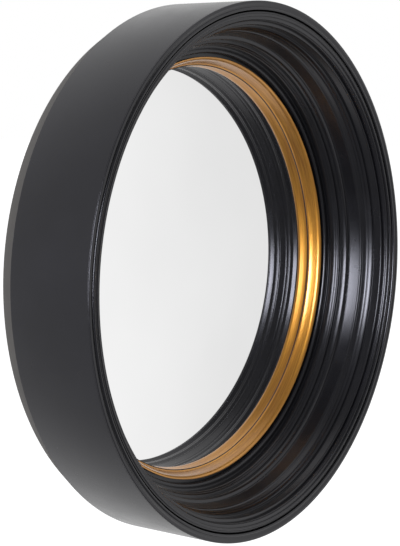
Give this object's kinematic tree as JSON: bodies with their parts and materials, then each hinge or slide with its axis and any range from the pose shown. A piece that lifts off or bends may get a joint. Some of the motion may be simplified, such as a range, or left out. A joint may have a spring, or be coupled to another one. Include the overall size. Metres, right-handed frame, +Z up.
{
  "type": "convex wall mirror",
  "caption": "Deep round wall mirror: a convex mirror plate behind a gilt slip in a stepped black frame, with a closed back and hinged D-ring hangers.",
  "frame": {"origin": "centre of the wall plane, on the mirror's axis, at the back of the rear ring", "axes": "+Y is the mirror's axis, towards the wall; the mirror faces -Y; +Z is up"},
  "size_m": [0.6, 0.1232, 0.6],
  "materials": {
    "black_lacquer": "satin black lacquer on turned board",
    "grey_primer": "matt grey primer on the back edge",
    "gilt": "brushed gilt on turned wood",
    "mirror_plate": "silvered convex glass",
    "felt": "thin black felt",
    "foam": "closed-cell foam strip",
    "bare_board": "bare fibreboard",
    "hardboard": "smooth brown hardboard",
    "zinc_screw": "bright zinc plate",
    "hanger_steel": "nickel-plated steel"
  },
  "bodies": {
    "frame": {"front_rim": "black_lacquer", "side_hoop": "black_lacquer", "outer_moulding": "black_lacquer", "middle_moulding": "black_lacquer", "inner_moulding": "black_lacquer", "carrier_ring": "bare_board", "carrier_screws": "zinc_screw", "gold_slip": "gilt", "glass_gasket": "felt", "mirror_glass": "mirror_plate", "glass_spacer": "foam", "rear_ring": "grey_primer", "clamp_ring": "bare_board", "clamp_screws": "zinc_screw", "back_board": "hardboard", "back_board_screws": "zinc_screw", "hanger_strap_left": "hanger_steel", "hanger_screws_left": "zinc_screw", "hanger_strap_right": "hanger_steel", "hanger_screws_right": "zinc_screw"},
    "left_ring": {"hanger_ring_left": "hanger_steel"},
    "right_ring": {"hanger_ring_right": "hanger_steel"}
  },
  "joints": [
    {"name": "left_ring_hinge", "type": "hinge", "parent": "frame", "child": "left_ring", "pos_m": [-0.15, -0.00545, 0.19671], "axis": [-1, 0, 0], "range_deg": [0, 178]},
    {"name": "right_ring_hinge", "type": "hinge", "parent": "frame", "child": "right_ring", "pos_m": [0.15, -0.00545, 0.19671], "axis": [-1, 0, 0], "range_deg": [0, 178]}
  ]
}
